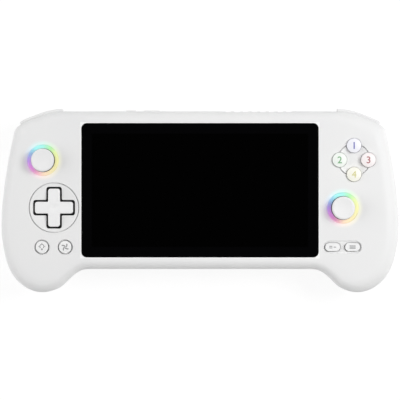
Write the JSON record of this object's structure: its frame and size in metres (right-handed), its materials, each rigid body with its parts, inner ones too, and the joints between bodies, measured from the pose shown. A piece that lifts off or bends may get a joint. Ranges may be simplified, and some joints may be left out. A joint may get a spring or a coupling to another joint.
{
  "type": "handheld game console",
  "caption": "White handheld game console: landscape screen between two rounded grips, thumb sticks with lit rings, cross pad, face keys, shoulder keys and edge ports.",
  "frame": {"origin": "on the table plane under the grips, at the middle of the outline, with the console lying on its back", "axes": "+X to the player's right, +Y from the grips to the shoulder keys, +Z out of the screen"},
  "size_m": [0.2244, 0.1037, 0.0373],
  "materials": {
    "white_abs": "fine spark-textured moulding",
    "key_white": "satin moulding",
    "cap_rubber": "matte",
    "ring_diffuser": "translucent, lit from behind",
    "cover_glass": "polished, black printed back",
    "display_black": "smooth",
    "black_plastic": "moulded",
    "adhesive_foam": "foam tape",
    "steel": "plated",
    "aluminium": "bare",
    "copper": "drawn copper",
    "board": "solder mask",
    "flex_film": "polyimide film",
    "membrane": "silicone",
    "battery_foil": "laminated foil pouch"
  },
  "bodies": {
    "case": {"front_shell": "white_abs", "rear_shell": "white_abs", "screen_lens": "cover_glass", "lens_gasket": "adhesive_foam", "display_panel": "display_black", "case_screws": "steel", "board_screws": "steel", "chip_shield": "steel", "usb_port": "steel", "card_socket": "steel", "shoulder_pins": "steel", "trigger_springs": "steel", "main_board": "board", "left_control_board": "board", "right_control_board": "board", "top_key_board": "board", "heat_pipe": "copper", "fin_stack": "aluminium", "fan_housing": "black_plastic", "left_speaker": "black_plastic", "right_speaker": "black_plastic", "audio_jack": "black_plastic", "left_stick_module": "black_plastic", "right_stick_module": "black_plastic", "dpad_bracket": "black_plastic", "battery": "battery_foil", "left_flex": "flex_film", "right_flex": "flex_film", "left_light_ring": "ring_diffuser", "right_light_ring": "ring_diffuser", "dpad_membrane": "membrane", "face_membrane": "membrane", "left_key_membrane": "membrane", "right_key_membrane": "membrane"},
    "fan": {"fan_rotor": "black_plastic"},
    "left_gimbal": {"left_stick_gimbal": "steel"},
    "left_rocker": {"left_stick_rocker": "black_plastic"},
    "left_stick": {"left_stick_shaft": "steel", "left_stick_cap": "cap_rubber"},
    "right_gimbal": {"right_stick_gimbal": "steel"},
    "right_rocker": {"right_stick_rocker": "black_plastic"},
    "right_stick": {"right_stick_shaft": "steel", "right_stick_cap": "cap_rubber"},
    "cross_pivot": {"dpad_pivot": "steel"},
    "cross_pad": {"dpad": "key_white"},
    "top_key": {"face_button_top": "key_white"},
    "left_key": {"face_button_left": "key_white"},
    "right_key": {"face_button_right": "key_white"},
    "bottom_key": {"face_button_bottom": "key_white"},
    "light_key": {"light_button": "key_white"},
    "fan_key": {"fan_button": "key_white"},
    "select_key": {"select_button": "key_white"},
    "start_key": {"start_button": "key_white"},
    "power_key": {"power_button": "key_white"},
    "volume_key": {"volume_rocker": "key_white"},
    "left_bumper_key": {"left_bumper": "white_abs"},
    "right_bumper_key": {"right_bumper": "white_abs"},
    "left_trigger_key": {"left_trigger": "white_abs"},
    "right_trigger_key": {"right_trigger": "white_abs"}
  },
  "joints": [
    {"name": "fan_spin", "type": "hinge", "parent": "case", "child": "fan", "pos_m": [0.035, 0.026, 0.0204], "axis": [0, 0, 1], "continuous": true},
    {"name": "left_stick_up_down", "type": "hinge", "parent": "case", "child": "left_gimbal", "pos_m": [-0.0884, 0.0228, 0.023], "axis": [1, 0, 0], "range_deg": [-13, 13], "stiffness_Nm_per_rad": 0.05},
    {"name": "left_stick_left_right", "type": "hinge", "parent": "left_gimbal", "child": "left_rocker", "pos_m": [-0.0884, 0.0228, 0.023], "axis": [0, 1, 0], "range_deg": [-13, 13], "stiffness_Nm_per_rad": 0.05},
    {"name": "left_stick_click", "type": "slide", "parent": "left_rocker", "child": "left_stick", "axis": [0, 0, -1], "range_m": [0, 0.0005], "stiffness_N_per_m": 3000, "springref_m": -0.0002},
    {"name": "right_stick_up_down", "type": "hinge", "parent": "case", "child": "right_gimbal", "pos_m": [0.0805, -0.0041, 0.023], "axis": [1, 0, 0], "range_deg": [-13, 13], "stiffness_Nm_per_rad": 0.05},
    {"name": "right_stick_left_right", "type": "hinge", "parent": "right_gimbal", "child": "right_rocker", "pos_m": [0.0805, -0.0041, 0.023], "axis": [0, 1, 0], "range_deg": [-13, 13], "stiffness_Nm_per_rad": 0.05},
    {"name": "right_stick_click", "type": "slide", "parent": "right_rocker", "child": "right_stick", "axis": [0, 0, -1], "range_m": [0, 0.0005], "stiffness_N_per_m": 3000, "springref_m": -0.0002},
    {"name": "cross_up_down", "type": "hinge", "parent": "case", "child": "cross_pivot", "pos_m": [-0.0822, -0.0039, 0.026], "axis": [1, 0, 0], "range_deg": [-2.8, 2.8], "stiffness_Nm_per_rad": 0.2},
    {"name": "cross_left_right", "type": "hinge", "parent": "cross_pivot", "child": "cross_pad", "pos_m": [-0.0822, -0.0039, 0.026], "axis": [0, 1, 0], "range_deg": [-2.8, 2.8], "stiffness_Nm_per_rad": 0.2},
    {"name": "top_key_press", "type": "slide", "parent": "case", "child": "top_key", "axis": [0, 0, -1], "range_m": [0, 0.0012], "stiffness_N_per_m": 600, "springref_m": -0.0005},
    {"name": "left_key_press", "type": "slide", "parent": "case", "child": "left_key", "axis": [0, 0, -1], "range_m": [0, 0.0012], "stiffness_N_per_m": 600, "springref_m": -0.0005},
    {"name": "right_key_press", "type": "slide", "parent": "case", "child": "right_key", "axis": [0, 0, -1], "range_m": [0, 0.0012], "stiffness_N_per_m": 600, "springref_m": -0.0005},
    {"name": "bottom_key_press", "type": "slide", "parent": "case", "child": "bottom_key", "axis": [0, 0, -1], "range_m": [0, 0.0012], "stiffness_N_per_m": 600, "springref_m": -0.0005},
    {"name": "light_key_press", "type": "slide", "parent": "case", "child": "light_key", "axis": [0, 0, -1], "range_m": [0, 0.0008], "stiffness_N_per_m": 900, "springref_m": -0.0004},
    {"name": "fan_key_press", "type": "slide", "parent": "case", "child": "fan_key", "axis": [0, 0, -1], "range_m": [0, 0.0008], "stiffness_N_per_m": 900, "springref_m": -0.0004},
    {"name": "select_key_press", "type": "slide", "parent": "case", "child": "select_key", "axis": [0, 0, -1], "range_m": [0, 0.0008], "stiffness_N_per_m": 900, "springref_m": -0.0004},
    {"name": "start_key_press", "type": "slide", "parent": "case", "child": "start_key", "axis": [0, 0, -1], "range_m": [0, 0.0008], "stiffness_N_per_m": 900, "springref_m": -0.0004},
    {"name": "power_key_press", "type": "slide", "parent": "case", "child": "power_key", "axis": [0, -1, 0], "range_m": [0, 0.0005], "stiffness_N_per_m": 2000, "springref_m": -0.0003},
    {"name": "volume_rock", "type": "hinge", "parent": "case", "child": "volume_key", "pos_m": [-0.027, 0.0465, 0.0207], "axis": [0, 0, 1], "range_deg": [-3, 3], "stiffness_Nm_per_rad": 0.03},
    {"name": "left_bumper_press", "type": "hinge", "parent": "case", "child": "left_bumper_key", "pos_m": [-0.0797, 0.0451, 0.0215], "axis": [0, 0, 1], "range_deg": [0, 2.7], "stiffness_Nm_per_rad": 0.5, "springref_deg": -2.86},
    {"name": "right_bumper_press", "type": "hinge", "parent": "case", "child": "right_bumper_key", "pos_m": [0.0797, 0.0451, 0.0215], "axis": [0, 0, -1], "range_deg": [0, 2.7], "stiffness_Nm_per_rad": 0.5, "springref_deg": -2.86},
    {"name": "left_trigger_pull", "type": "hinge", "parent": "case", "child": "left_trigger_key", "pos_m": [-0.087, 0.0397, 0.0172], "axis": [-1, 0, 0], "range_deg": [0, 16], "stiffness_Nm_per_rad": 0.08, "springref_deg": -8.59},
    {"name": "right_trigger_pull", "type": "hinge", "parent": "case", "child": "right_trigger_key", "pos_m": [0.087, 0.0397, 0.0172], "axis": [-1, 0, 0], "range_deg": [0, 16], "stiffness_Nm_per_rad": 0.08, "springref_deg": -8.59}
  ]
}
